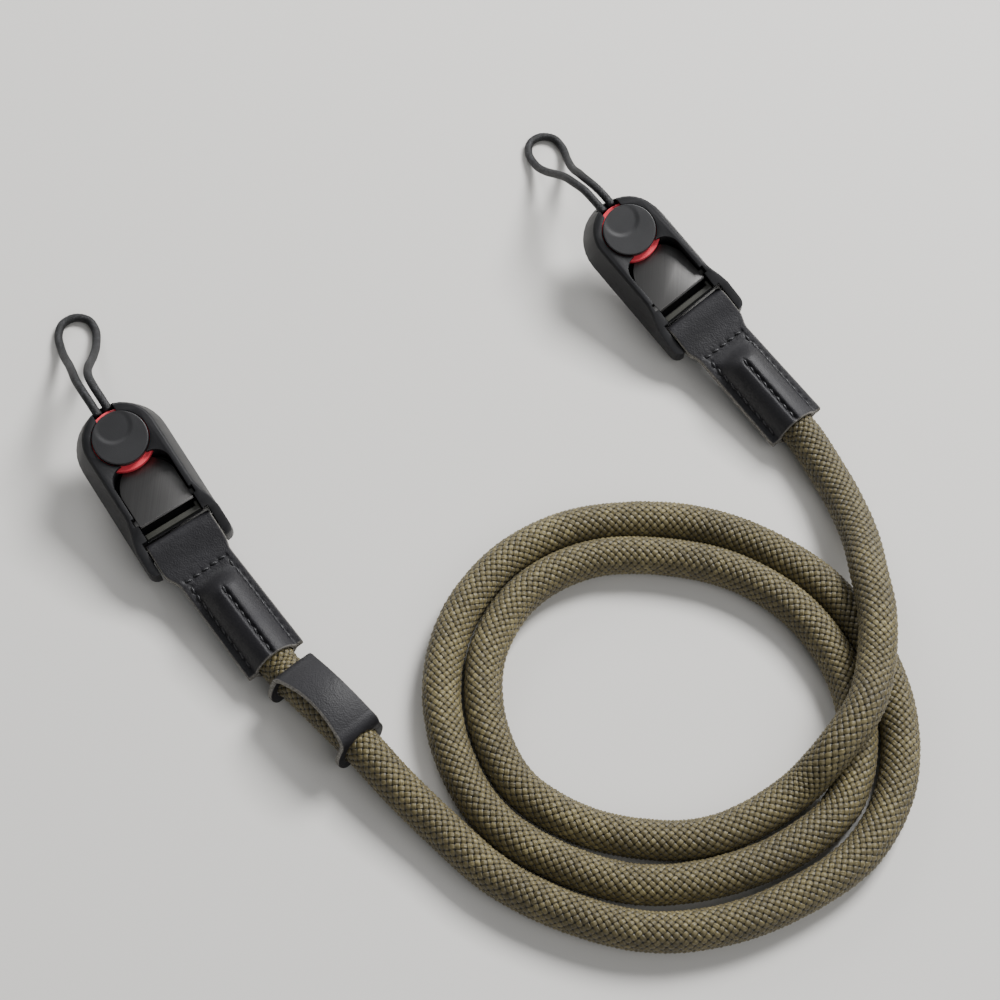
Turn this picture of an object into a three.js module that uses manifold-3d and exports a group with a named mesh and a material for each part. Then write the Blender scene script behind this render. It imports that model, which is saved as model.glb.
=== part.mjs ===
// Coiled camera strap: a thick braided rope in a loose coil, a sewn leather end at each side, and on each
// end a quick-release connector with its round anchor and the anchor's thin cord loop. A leather keeper
// sits on the rope beside one end. Units are millimetres, +Z is up and the strap lies on the plane z = 0.
import * as THREE from "three";
import { mergeVertices } from "three/addons/utils/BufferGeometryUtils.js";
import Module from "manifold-3d";

const wasm = await Module();
wasm.setup();

// Clearance between pieces that touch on the real strap
const gap = 0.3;
const restGap = 0.1; // and between the cords' lowest points and the surface

// The tables below are measured from a point of their own, which lies here from the part's origin
const tablesAt = { x: 13.23, y: -3.95 };

// Rope
const ropeRadius = 4.8;
const ropeSides = 12;
const ropeSteps = 80;
const ropeInSleeve = 23; // length of rope sewn into each leather end
const ropeStraight = 3; // the rope leaves each mouth straight for this length

// Leather ends, measured from the sleeve's mouth
const leather = 1.3; // one layer; the two layers meet in a flat seam at the rope's mid height
const boreRadius = ropeRadius + gap;
const bulgeRadius = boreRadius + leather;
const sleeveLength = 30; // mouth to the cross seam
const strapLength = 11; // cross seam to the connector's bar
const mouthHalfWidth = 8.2;
const seamHalfWidth = 7.9;
const barHalfWidth = 9.2;
const foldWiden = 6; // the strip keeps its full width for this length before the bar
const closeLength = 7; // from the bar to where the two layers meet

// Connector, measured from its bar along its own axis
const barRadius = 1.5;
const discX = 29.8; // bar to the middle of the anchor
const halfHeight = 4.7; // of the housing
const roundEnd = 12.3; // radius of the housing's round end at its base, and half its width
const tipX = -5.6;
const tipCorner = 2.3;
const draft = 2.9; // the side walls lean in by this much at the top
const tipDraft = 0.3; // and by this much at the arms' tips
const flareX = 1.3; // the arms flare out between rampX and here
const edgeBevel = 0.6;
const rampX = 11.3; // the arms' top falls from here to their tips
const tipTop = 1.5; // height of the arms' top at their tips

const discRadius = 7.2;
const discThickness = 2;
const discProud = 0.7;
const thumbDent = 0.45; // depth of the hollow in the anchor's face
const dentRadius = 5.2;
const coreRadius = 8.5;
const coreThickness = 1.8;
const slotHalfWidth = 2.9; // the notch where the anchor's cord comes out

const windowHalfWidth = 8.1;
const windowEnd = 23.3;
const windowShoulder = 4.5; // radius of the window's corners beside the anchor
const windowFloor = -2.6;
const sillX = 3.4;
const sillWidth = 2.2;
const sillTop = 0.7;

const plateX = 7; // near edge of the spring plate
const plateHalfWidth = windowHalfWidth - 0.4;
const plateThickness = 0.8;
const plateLip = 2.1; // the near edge is folded down by this much
const plateTop = 3.0; // height of the plate at its near edge
const plateEndTop = 1.1; // and at its far end, under the anchor
const plateCut = 6; // length of the cut corners at the far end
const earLength = 1.5;
const earReach = 0.9; // how far each ear of the plate enters its arm

// Keeper
const keeperFrom = 5.6; // mouth to the keeper's first wall
const keeperLength = 26;
const keeperLeather = 1.4;
const keeperEye = 7.3; // radius of the round ends, about the rope
const keeperNeck = 6; // half width of the bridge between them
const keeperWaist = 4.9; // and at its middle
const keeperBend = 3;
const keeperCrown = 9.9; // top of the bridge's middle above the rope's axis
const keeperShoulder = 6.9; // and of its ends
const keeperGround = 5.9; // the round ends are flat this far below the rope's axis
const keeperLean = -7; // degrees, about the rope

// Anchor cord
const cordRadius = 1.2;
const cordSides = 8;
const cordSteps = 40;
const cordHeading = { right: 110, left: 106 }; // degrees from +X, laid on the surface

// Where each sleeve's mouth lies and, in degrees, the way its leather end points from +X, how far it rises
// and leans over, and how much more the connector turns and rises at its bar
const ends = [
  { side: "right", x: 77.3, y: 25.3, heading: 131.9, rise: 6, lean: -14, turn: 1, lift: 8 },
  { side: "left", x: -52.4, y: -54.4, heading: 131.5, rise: 5, lean: -8, turn: -4, lift: 7 },
];

// The rope's route between the two mouths, chosen by hand: place, and height above lying on the surface
const route = [
  { x: 84.5, y: 14.5, lift: 0.7 },
  { x: 89.5, y: 4, lift: 1.6 },
  { x: 93, y: -8, lift: 4.4 },
  { x: 94.5, y: -20.5, lift: 8.2 },
  { x: 96, y: -33, lift: 10.1 },
  { x: 95.5, y: -46, lift: 10.1 },
  { x: 92.5, y: -58.5, lift: 10.6 },
  { x: 85.5, y: -69.5, lift: 7.6 },
  { x: 78, y: -77.5, lift: 1.4 },
  { x: 68, y: -85.5, lift: 0 },
  { x: 56.5, y: -91.5, lift: 0 },
  { x: 43.5, y: -93.5, lift: 0 },
  { x: 25, y: -91, lift: 0 },
  { x: 9, y: -81.5, lift: 0 },
  { x: 0.5, y: -64.5, lift: 0 },
  { x: 0, y: -46, lift: 0 },
  { x: 8.5, y: -29, lift: 0 },
  { x: 24, y: -18.5, lift: 0 },
  { x: 42.5, y: -16, lift: 0 },
  { x: 61.5, y: -19, lift: 0 },
  { x: 77.5, y: -28.5, lift: 0 },
  { x: 88.5, y: -44, lift: 0 },
  { x: 92.5, y: -62.5, lift: 0 },
  { x: 88.5, y: -80.5, lift: 0 },
  { x: 74.5, y: -94, lift: 0 },
  { x: 57.5, y: -102, lift: 0 },
  { x: 39, y: -105, lift: 0 },
  { x: 20.5, y: -101, lift: 0 },
  { x: 4, y: -91.5, lift: 0 },
  { x: -6.5, y: -76, lift: 0 },
  { x: -11, y: -57.5, lift: 0 },
  { x: -8.5, y: -39, lift: 0 },
  { x: 1, y: -22.5, lift: 0 },
  { x: 16, y: -11, lift: 0 },
  { x: 34, y: -6, lift: 0 },
  { x: 53, y: -6, lift: 0 },
  { x: 71, y: -12, lift: 0 },
  { x: 86.5, y: -23, lift: 0 },
  { x: 97, y: -38.5, lift: 0 },
  { x: 102.5, y: -56.5, lift: 0 },
  { x: 101.5, y: -75.5, lift: 0 },
  { x: 93, y: -92.5, lift: 0 },
  { x: 78.5, y: -104.5, lift: 0 },
  { x: 61.5, y: -113, lift: 0 },
  { x: 43, y: -116.5, lift: 0 },
  { x: 24.5, y: -113.5, lift: 0 },
  { x: 6.5, y: -106, lift: 0 },
  { x: -8.5, y: -94.5, lift: 0.4 },
  { x: -19.5, y: -85, lift: 1.4 },
  { x: -28.5, y: -76.5, lift: 2.4 },
  { x: -38, y: -68, lift: 2.6 },
  { x: -45.5, y: -61.2, lift: 2.1 },
];

// One strand of an anchor's cord loop: how far along, the half distance between the two strands, and how
// much of the height at the anchor is left
const cordRoute = [
  { along: 4, spread: 1.55, height: 1 },
  { along: 9, spread: 1.7, height: 0.9 },
  { along: 14, spread: 2.1, height: 0.73 },
  { along: 19, spread: 2.8, height: 0.5 },
  { along: 24, spread: 3.7, height: 0.28 },
  { along: 30, spread: 4.65, height: 0.08 },
  { along: 36, spread: 5, height: 0 },
  { along: 39.5, spread: 3.55, height: 0 },
];
const cordSpread = 1.5; // half distance between the two strands in the housing's notch
const cordInNotch = 4.2; // each strand runs straight for this length
const cordTurnTo = 16; // and has its own heading from here on
const cordTip = 1.5; // the loop's end lies this far beyond the last row

const radians = THREE.MathUtils.degToRad;
const smooth = (t) => THREE.MathUtils.smoothstep(t, 0, 1);

const finish = (color, roughness, metalness = 0) =>
  new THREE.MeshStandardMaterial({ color, roughness, metalness });
const finishes = {
  rope: finish(0x8a8262, 0.85),
  leather: finish(0x2b2a2d, 0.55),
  housing: finish(0x2c2c2e, 0.5),
  disc: finish(0x333335, 0.55),
  core: finish(0xe0525c, 0.45),
  plate: finish(0x5c5c5c, 0.25, 0.9),
  cord: finish(0x141416, 0.8),
};

// A closed geometry as a solid that can be joined and cut, and back
function solid(geometry) {
  const bare = geometry.clone();
  bare.deleteAttribute("normal");
  bare.deleteAttribute("uv");
  const merged = mergeVertices(bare, 1e-4);
  return new wasm.Manifold(
    new wasm.Mesh({
      numProp: 3,
      vertProperties: merged.attributes.position.array,
      triVerts: new Uint32Array(merged.index.array),
    }),
  );
}
function geometryOf(body) {
  const mesh = body.getMesh();
  const geometry = new THREE.BufferGeometry();
  geometry.setAttribute("position", new THREE.BufferAttribute(mesh.vertProperties, 3));
  geometry.setIndex(new THREE.BufferAttribute(mesh.triVerts, 1));
  geometry.computeVertexNormals();
  return geometry;
}

// Rings of equally many points, joined one after another, with a fan over each end
function loft(rings) {
  const count = rings[0].length;
  const points = rings.flat();
  const faces = [];
  for (let r = 0; r + 1 < rings.length; r++) {
    for (let i = 0; i < count; i++) {
      const a = r * count + i;
      const b = r * count + ((i + 1) % count);
      faces.push(a, b, a + count, b, b + count, a + count);
    }
  }
  [0, rings.length - 1].forEach((r, end) => {
    const middle = points.length;
    const sum = rings[r].reduce((s, p) => s.add(p), new THREE.Vector3());
    points.push(sum.divideScalar(count));
    for (let i = 0; i < count; i++) {
      const a = r * count + i;
      const b = r * count + ((i + 1) % count);
      faces.push(...(end ? [middle, a, b] : [middle, b, a]));
    }
  });
  const geometry = new THREE.BufferGeometry().setFromPoints(points);
  geometry.setIndex(faces);
  return geometry;
}

// A flat outline pushed along one axis: in plan it rises along Z, in side view it spans the width along Y,
// and in front view it runs along X
const push = (outline, depth) =>
  new THREE.ExtrudeGeometry(outline, { depth, bevelEnabled: false, curveSegments: 10 });
const inPlan = (outline, from, to) => push(outline, to - from).translate(0, 0, from);
const inSide = (outline, halfWidth) =>
  push(outline, 2 * halfWidth)
    .rotateX(Math.PI / 2)
    .translate(0, halfWidth, 0);
const inFront = (outline, from, to) =>
  push(outline, to - from)
    .rotateX(Math.PI / 2)
    .rotateZ(Math.PI / 2)
    .translate(from, 0, 0);
const polygon = (pairs) => new THREE.Shape(pairs.map(([x, y]) => new THREE.Vector2(x, y)));
const box = (x0, x1, y0, y1, z0, z1) =>
  solid(
    new THREE.BoxGeometry(x1 - x0, y1 - y0, z1 - z0).translate(
      (x0 + x1) / 2,
      (y0 + y1) / 2,
      (z0 + z1) / 2,
    ),
  );
const post = (radius, z0, z1, x = 0) =>
  solid(
    new THREE.CylinderGeometry(radius, radius, z1 - z0, 40)
      .rotateX(Math.PI / 2)
      .translate(x, 0, (z0 + z1) / 2),
  );

function tube(curve, radius, sides, steps) {
  const section = new THREE.Shape();
  section.absarc(0, 0, radius, 0, 2 * Math.PI);
  return new THREE.ExtrudeGeometry(section, {
    steps,
    extrudePath: curve,
    curveSegments: sides / 2, // an arc gets two points for each
    bevelEnabled: false,
  });
}

// Leather end, in a frame whose origin is the middle of the mouth and whose X axis runs to the bar.
// Its upper and lower surfaces follow a round bulge over the rope that runs out into the flat seam, and
// the fold round the bar is turned with the connector.
function leatherEnd(turn) {
  const barX = sleeveLength + strapLength;
  const across = [-1, -0.93, -0.85, -0.78, -0.7, -0.6, -0.46, -0.3, -0.15, 0];
  const shares = [...across, ...across.slice(0, -1).reverse().map((s) => -s)];
  const onRope = [0, 8, 16, ropeInSleeve, 25, 27, sleeveLength - 1];
  const pastRope = [sleeveLength, 32, 34, barX - foldWiden, barX - 3];
  const stations = [...onRope, ...pastRope];
  const halfWidth = (x) => {
    const toSeam = Math.min(x / sleeveLength, 1);
    const sleeve = THREE.MathUtils.lerp(mouthHalfWidth, seamHalfWidth, toSeam);
    const toFull = (x - sleeveLength) / (strapLength - foldWiden);
    return THREE.MathUtils.lerp(sleeve, barHalfWidth, smooth(toFull));
  };
  const bulge = (x) => 1 - smooth((x - ropeInSleeve + 1) / (sleeveLength - ropeInSleeve));
  const height = (x, y) => {
    const round = Math.sqrt(Math.max(bulgeRadius ** 2 - y ** 2, 0)) - leather;
    return leather + bulge(x) * Math.max(round, 0);
  };
  const rings = stations.map((x) => {
    const top = shares.map((s) => {
      const y = s * halfWidth(x);
      return new THREE.Vector3(x, y, height(x, y));
    });
    const under = [...top].reverse().map((p) => new THREE.Vector3(p.x, p.y, -p.z));
    return [...top, ...under];
  });
  const strip = solid(loft(rings.map((ring) => ring.reverse())));

  // The fold: the strip passes round the bar and its two layers close to the flat seam
  const eye = barRadius + gap;
  const outer = eye + leather;
  const closeX = barX - closeLength;
  const fold = new THREE.Shape();
  fold.moveTo(closeX, -leather);
  fold.lineTo(barX - 1, -outer);
  fold.absarc(barX, 0, outer, -Math.PI / 2, Math.PI / 2, false);
  fold.lineTo(barX - 1, outer);
  fold.lineTo(closeX, leather);
  const opening = new THREE.Shape();
  opening.absarc(barX, 0, eye, -Math.PI / 2, Math.PI / 2, false);
  opening.lineTo(barX - closeLength * 0.6, 0.2);
  opening.lineTo(barX - closeLength * 0.6, -0.2);
  const folded = solid(inSide(fold, barHalfWidth));
  const bore = new THREE.LineCurve3(
    new THREE.Vector3(-1, 0, 0),
    new THREE.Vector3(ropeInSleeve + gap, 0, 0),
  );
  const geometry = geometryOf(
    strip
      .add(folded)
      .subtract(solid(inSide(opening, barHalfWidth + 1)))
      .subtract(solid(tube(bore, boreRadius, 2 * ropeSides, 1))),
  );
  const middle = new THREE.Vector2(barX, 0);
  const points = geometry.attributes.position;
  for (let i = 0; i < points.count; i++) {
    const at = new THREE.Vector2(points.getX(i), points.getY(i));
    const share = smooth((at.x - sleeveLength) / (strapLength - closeLength));
    const turned = at.clone().rotateAround(middle, radians(turn));
    at.lerp(turned, share);
    points.setXY(i, at.x, at.y);
  }
  return geometry;
}

// Housing, in a frame whose origin is the middle of its bar and whose X axis runs to the round end
function housing() {
  const half = [];
  for (let i = 0; i <= 9; i++) {
    const turn = (i / 9) * (Math.PI / 2);
    half.push({ x: discX + roundEnd * Math.cos(turn), y: roundEnd * Math.sin(turn) });
  }
  const straight = 12; // strips along each side
  for (let i = 1; i <= straight; i++) {
    half.push({ x: THREE.MathUtils.lerp(discX, tipX + tipCorner, i / straight), y: roundEnd });
  }
  for (let i = 1; i <= 4; i++) {
    const turn = (i / 4) * (Math.PI / 2);
    half.push({
      x: tipX + tipCorner - tipCorner * Math.sin(turn),
      y: roundEnd - tipCorner + tipCorner * Math.cos(turn),
    });
  }
  const topAt = (x) => THREE.MathUtils.lerp(tipTop, halfHeight, smooth((x - tipX) / (rampX - tipX)));
  const draftAt = (x) => THREE.MathUtils.lerp(tipDraft, draft, smooth((x - flareX) / (rampX - flareX)));
  // Each level is the base outline drawn in by an inset, at a height of its own
  const level = (insetAt, heightAt) => {
    const drawn = half.map((p) => {
      const inset = insetAt(p.x);
      const share = 1 - inset / roundEnd;
      const x = p.x > discX ? discX + (p.x - discX) * share : Math.max(p.x, tipX + inset * 0.5);
      return new THREE.Vector3(x, p.x > discX ? p.y * share : p.y - inset, heightAt(x));
    });
    const other = drawn
      .slice(1)
      .reverse()
      .map((p) => new THREE.Vector3(p.x, -p.y, p.z));
    return [...drawn, ...other];
  };
  const rings = [
    level(() => edgeBevel, () => -halfHeight),
    level(() => 0, () => edgeBevel - halfHeight),
    level((x) => draftAt(x) * 0.85, (x) => topAt(x) - edgeBevel),
    level((x) => draftAt(x) + edgeBevel * 0.3, (x) => topAt(x)),
  ];
  let body = solid(laddered(rings));

  const top = halfHeight + 1;
  const armInside = barHalfWidth + gap + 0.1;
  const pocketTop = halfHeight + discProud - discThickness;
  const notchFloor = pocketTop - 2 * cordRadius - gap;
  const notchEnd = discX + roundEnd + 1;
  body = body
    .subtract(post(discRadius + gap, pocketTop - 1, top, discX))
    .subtract(post(coreRadius + gap, pocketTop - coreThickness - 2 * gap, pocketTop, discX))
    .subtract(solid(inPlan(windowOutline(), windowFloor, top)))
    .subtract(box(tipX - 1, sillX, -armInside, armInside, -top, top))
    .subtract(box(discX + 5, notchEnd, -slotHalfWidth, slotHalfWidth, notchFloor, top))
    .subtract(box(sillX - 1, sillX + sillWidth, -windowHalfWidth, windowHalfWidth, sillTop, top));
  for (const turn of [-1, 1]) {
    const reach = plateHalfWidth + earReach + gap;
    const [y0, y1] = turn > 0 ? [windowHalfWidth - 1, reach] : [-reach, 1 - windowHalfWidth];
    const under = plateTop - plateThickness - 2 * gap;
    body = body.subtract(box(plateX + 1 - gap, plateX + 1 + earLength + gap, y0, y1, under, top));
  }
  const bar = new THREE.CylinderGeometry(barRadius, barRadius, 2 * armInside + 1, 20);
  return geometryOf(body.add(solid(bar)));
}

// The same loft, closed by strips between each point of one side and its mirror image, for outlines
// whose two halves mirror each other
function laddered(rings) {
  const count = rings[0].length;
  const faces = [];
  for (let r = 0; r + 1 < rings.length; r++) {
    for (let i = 0; i < count; i++) {
      const a = r * count + i;
      const b = r * count + ((i + 1) % count);
      faces.push(a, b, a + count, b, b + count, a + count);
    }
  }
  const last = (rings.length - 1) * count;
  const halfCount = (count - 1) / 2;
  for (const [base, up] of [
    [0, false],
    [last, true],
  ]) {
    const add = (a, b, c) => faces.push(...(up ? [a, b, c] : [a, c, b]).map((i) => base + i));
    add(0, 1, count - 1);
    for (let i = 1; i < halfCount; i++) {
      add(i, i + 1, count - i);
      add(i + 1, count - i - 1, count - i);
    }
  }
  const geometry = new THREE.BufferGeometry().setFromPoints(rings.flat());
  geometry.setIndex(faces);
  return geometry;
}

// The window in the housing's top, from the sill to the anchor, with round shoulders
function windowOutline() {
  const w = windowHalfWidth;
  const r = windowShoulder;
  const near = sillX + sillWidth;
  const outline = new THREE.Shape();
  outline.moveTo(near, -w);
  outline.lineTo(windowEnd - r, -w);
  outline.absarc(windowEnd - r, -w + r, r, -Math.PI / 2, 0, false);
  outline.absarc(windowEnd - r, w - r, r, 0, Math.PI / 2, false);
  outline.lineTo(near, w);
  return outline;
}

function anchorDisc() {
  const top = halfHeight + discProud;
  const bevel = 0.35;
  const profile = [
    [0, top - discThickness],
    [discRadius, top - discThickness],
    [discRadius, top - bevel],
    [discRadius - bevel, top],
    [dentRadius, top],
    [dentRadius * 0.75, top - thumbDent * 0.45],
    [dentRadius * 0.45, top - thumbDent * 0.85],
    [0, top - thumbDent],
  ];
  return turned(profile).translate(discX, 0, 0);
}

function anchorCore() {
  const top = halfHeight + discProud - discThickness - gap;
  const bevel = 0.4;
  const profile = [
    [0, top - coreThickness],
    [coreRadius - bevel, top - coreThickness],
    [coreRadius, top - coreThickness + bevel],
    [coreRadius, top - bevel],
    [coreRadius - bevel, top],
    [0, top],
  ];
  return turned(profile).translate(discX, 0, 0);
}

// A profile of radius and height, turned about a vertical axis
const turned = (profile) =>
  new THREE.LatheGeometry(
    profile.map(([r, z]) => new THREE.Vector2(r, z)),
    40,
  ).rotateX(Math.PI / 2);

// Spring plate: a leaf that falls towards the anchor, with its near edge folded down, two ears and cut
// far corners
function springPlate() {
  const farX = windowEnd - 2 * gap;
  const side = polygon([
    [plateX, plateTop - plateLip],
    [plateX + plateThickness, plateTop - plateLip],
    [plateX + plateThickness, plateTop - plateThickness],
    [farX, plateEndTop - plateThickness],
    [farX, plateEndTop],
    [plateX + plateThickness * 0.6, plateTop],
    [plateX, plateTop - plateThickness * 0.5],
  ]);
  const w = plateHalfWidth;
  const plan = new THREE.Shape();
  plan.moveTo(plateX - 1, -w);
  plan.lineTo(farX - plateCut, -w);
  plan.quadraticCurveTo(farX - plateCut * 0.4, -w * 0.92, farX, -w * 0.5);
  plan.lineTo(farX, w * 0.5);
  plan.quadraticCurveTo(farX - plateCut * 0.4, w * 0.92, farX - plateCut, w);
  plan.lineTo(plateX - 1, w);
  const leaf = solid(inSide(side, w)).intersect(solid(inPlan(plan, -halfHeight, halfHeight)));
  const earEnd = w + earReach;
  const earFloor = plateTop - plateThickness - 0.1;
  const ear = box(plateX + 1, plateX + 1 + earLength, -earEnd, earEnd, earFloor, plateTop - 0.3);
  return geometryOf(leaf.add(ear));
}

// Keeper, in a frame whose X axis is the rope: a strip bent over the rope, with a round eye at each end
function keeper() {
  const reach = ropeRadius + gap;
  const shape = (inset) => {
    const shoulder = keeperShoulder - inset;
    const nearBend = inset + keeperBend;
    const farBend = keeperLength - nearBend;
    const outline = new THREE.Path();
    outline.moveTo(inset, -keeperGround - 1);
    outline.lineTo(inset, shoulder - keeperBend);
    outline.quadraticCurveTo(inset, shoulder, nearBend, shoulder + keeperBend / 4);
    // The control point stands twice as high above the shoulders as the crown does
    const control = 2 * (keeperCrown - inset) - (shoulder + keeperBend / 4);
    const farWall = keeperLength - inset;
    outline.quadraticCurveTo(keeperLength / 2, control, farBend, shoulder + keeperBend / 4);
    outline.quadraticCurveTo(farWall, shoulder, farWall, shoulder - keeperBend);
    outline.lineTo(farWall, -keeperGround - 1);
    return outline.getPoints(8);
  };
  const side = new THREE.Shape([...shape(0), ...shape(keeperLeather).reverse()]);
  const front = new THREE.Shape();
  const turn = Math.asin(keeperNeck / keeperEye);
  const low = Math.asin(keeperGround / keeperEye);
  front.moveTo(keeperNeck, keeperCrown + 1);
  front.absarc(0, 0, keeperEye, Math.PI / 2 - turn, -low, true);
  front.absarc(0, 0, keeperEye, Math.PI + low, Math.PI / 2 + turn, true);
  front.lineTo(-keeperNeck, keeperCrown + 1);
  const waistFrom = keeperEye * Math.cos(turn);
  const edge = [];
  for (let i = 0; i <= 12; i++) {
    const share = i / 6 - 1;
    edge.push([keeperLength * (i / 12), keeperWaist + (keeperNeck - keeperWaist) * share ** 2]);
  }
  const waist = polygon([...edge, ...edge.map(([x, y]) => [x, -y]).reverse()]);
  const wide = keeperEye + 1;
  const above = solid(inPlan(waist, waistFrom, keeperCrown + 1));
  const below = box(-1, keeperLength + 1, -wide, wide, -keeperGround - 1, waistFrom);
  const rope = new THREE.LineCurve3(
    new THREE.Vector3(-1, 0, 0),
    new THREE.Vector3(keeperLength + 1, 0, 0),
  );
  return geometryOf(
    solid(inSide(side, wide))
      .intersect(solid(inFront(front, -1, keeperLength + 1)))
      .intersect(above.add(below))
      .subtract(solid(tube(rope, reach + 0.1, 2 * ropeSides, 1))),
  );
}

const strap = new THREE.Group();
function place(name, geometry, material, parent = strap) {
  const mesh = new THREE.Mesh(geometry, material);
  mesh.name = name;
  parent.add(mesh);
  return mesh;
}

// The two ends, each a leather end with its connector. The seam lies at the rope's mid height, and the
// sleeve's mouth rests on the surface.
const frames = {};
for (const { side, x, y, heading, rise, lean, turn, lift } of ends) {
  const end = new THREE.Group();
  end.position.set(x, y, bulgeRadius * Math.cos(radians(rise)));
  end.rotation.set(radians(lean), -radians(rise), radians(heading), "ZYX");
  strap.add(end);
  place(side + "_leather_end", leatherEnd(turn), finishes.leather, end);

  const connector = new THREE.Group();
  connector.position.x = sleeveLength + strapLength;
  connector.rotation.set(0, -radians(lift), radians(turn), "ZYX");
  end.add(connector);
  place(side + "_housing", housing(), finishes.housing, connector);
  place(side + "_anchor_disc", anchorDisc(), finishes.disc, connector);
  place(side + "_anchor_core", anchorCore(), finishes.core, connector);
  place(side + "_spring_plate", springPlate(), finishes.plate, connector);
  frames[side] = { end, connector, heading: heading + turn };
}
strap.updateMatrixWorld(true);

// The rope, from deep in the right sleeve, along the route, to deep in the left one
const inSleeve = (side, along) => frames[side].end.localToWorld(new THREE.Vector3(along, 0, 0));
const ropeCurve = new THREE.CatmullRomCurve3(
  [
    ...[ropeInSleeve, ropeInSleeve / 2, 0, -ropeStraight].map((along) => inSleeve("right", along)),
    ...route.map(({ x, y, lift }) => new THREE.Vector3(x, y, ropeRadius + restGap + lift)),
    ...[-ropeStraight, 0, ropeInSleeve / 2, ropeInSleeve].map((along) => inSleeve("left", along)),
  ],
  false,
  "centripetal",
);
ropeCurve.arcLengthDivisions = 2000;
place("rope", tube(ropeCurve, ropeRadius, ropeSides, ropeSteps), finishes.rope);

// Each anchor's cord: one strand out, round the end of the loop, and back beside itself
const exitX = coreRadius + gap;
const cordRest = cordRadius + restGap;
const exitZ = halfHeight + discProud - discThickness - gap - coreThickness / 2;
for (const { side } of ends) {
  const { connector, heading } = frames[side];
  const inNotch = (along, aside) =>
    connector.localToWorld(new THREE.Vector3(discX + exitX + along, aside, exitZ));
  const laid = radians(cordHeading[side]);
  const exit = inNotch(cordInNotch, 0);
  const middle = exit.clone();
  let last = 0;
  const halves = cordRoute.map(({ along, spread, height }) => {
    const bend = smooth((along + last) / 2 / cordTurnTo);
    const angle = THREE.MathUtils.lerp(radians(heading), laid, bend);
    middle.x += (along - last) * Math.cos(angle);
    middle.y += (along - last) * Math.sin(angle);
    last = along;
    const offset = new THREE.Vector3(-Math.sin(angle), Math.cos(angle), 0).multiplyScalar(spread);
    const centre = middle.clone().setZ(cordRest + height * (exit.z - cordRest));
    return [centre.clone().add(offset), centre.clone().sub(offset)];
  });
  const strand = (half) => {
    const aside = half ? -cordSpread : cordSpread;
    const start = [0, cordInNotch / 2, cordInNotch].map((along) => inNotch(along, aside));
    return [...start, ...halves.map((pair) => pair[half])];
  };
  const tip = middle.clone().setZ(cordRest);
  tip.x += cordTip * Math.cos(laid);
  tip.y += cordTip * Math.sin(laid);
  const curve = new THREE.CatmullRomCurve3(
    [...strand(0), tip, ...strand(1).reverse()],
    false,
    "centripetal",
  );
  place(side + "_anchor_cord", tube(curve, cordRadius, cordSides, cordSteps), finishes.cord);
}

// The keeper, threaded on the rope beside the left sleeve
const ropeLength = ropeCurve.getLength();
const ropeAt = (fromLeftMouth) =>
  ropeCurve.getPointAt(1 - (ropeInSleeve + fromLeftMouth) / ropeLength);
const keeperStart = ropeAt(keeperFrom);
const keeperWay = ropeAt(keeperFrom + keeperLength).sub(keeperStart);
const keeperMesh = place("keeper", keeper(), finishes.leather);
keeperMesh.position.copy(keeperStart);
keeperMesh.rotation.set(
  radians(keeperLean),
  -Math.atan2(keeperWay.z, Math.hypot(keeperWay.x, keeperWay.y)),
  Math.atan2(keeperWay.y, keeperWay.x),
  "ZYX",
);

const part = new THREE.Group();
strap.position.set(tablesAt.x, tablesAt.y, 0);
part.add(strap);

export default part;
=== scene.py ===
import math

import bmesh
import bpy
import numpy as np
from mathutils import Matrix, Vector


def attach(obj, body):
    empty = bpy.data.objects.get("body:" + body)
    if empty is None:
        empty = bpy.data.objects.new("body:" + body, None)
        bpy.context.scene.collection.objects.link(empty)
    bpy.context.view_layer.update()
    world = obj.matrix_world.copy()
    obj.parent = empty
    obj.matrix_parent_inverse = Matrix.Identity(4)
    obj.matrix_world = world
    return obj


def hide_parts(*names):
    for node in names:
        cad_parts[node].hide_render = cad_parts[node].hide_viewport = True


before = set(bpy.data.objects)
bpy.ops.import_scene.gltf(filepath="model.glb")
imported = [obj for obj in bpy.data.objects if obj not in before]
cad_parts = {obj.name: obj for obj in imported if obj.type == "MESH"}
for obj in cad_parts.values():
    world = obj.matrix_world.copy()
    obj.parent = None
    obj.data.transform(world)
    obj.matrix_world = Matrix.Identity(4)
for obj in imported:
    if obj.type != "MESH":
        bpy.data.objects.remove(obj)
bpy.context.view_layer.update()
mm = 0.001
strapAt = np.array([13.23, -3.95, 0])  # every place in the plan below is measured from here
print("frame loaded")


# Small tools for shapes

def smooth(t):
    # 3 t^2 - 2 t^3 between 0 and 1
    t = np.clip(t, 0, 1)
    return t * t * (3 - 2 * t)


def softNoise(points, size, seed=0):
    # Random values from -1 to 1 on a lattice of cubes of this size, blended smoothly inside each cube
    cell = np.asarray(points) / size
    low = np.floor(cell).astype(np.int64)
    share = smooth(cell - low)
    total = np.zeros(cell.shape[:-1])
    for corner in np.ndindex(2, 2, 2):
        at = low + corner
        # Three large primes scatter the lattice point, and two rounds of a plain generator mix its bits
        mixed = at[..., 0] * 73856093 ^ at[..., 1] * 19349663 ^ at[..., 2] * 83492791
        mixed = ((mixed ^ (seed + 7) * 2971215) * 1103515245 + 12345) & 0x7FFFFFFF
        mixed = ((mixed >> 5) * 1664525 + 1013904223) & 0x7FFFFFFF
        value = (mixed >> 7) / float(0x7FFFFFFF >> 7) * 2 - 1
        total += value * np.prod(np.where(corner, share, 1 - share), axis=-1)
    return total


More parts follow.
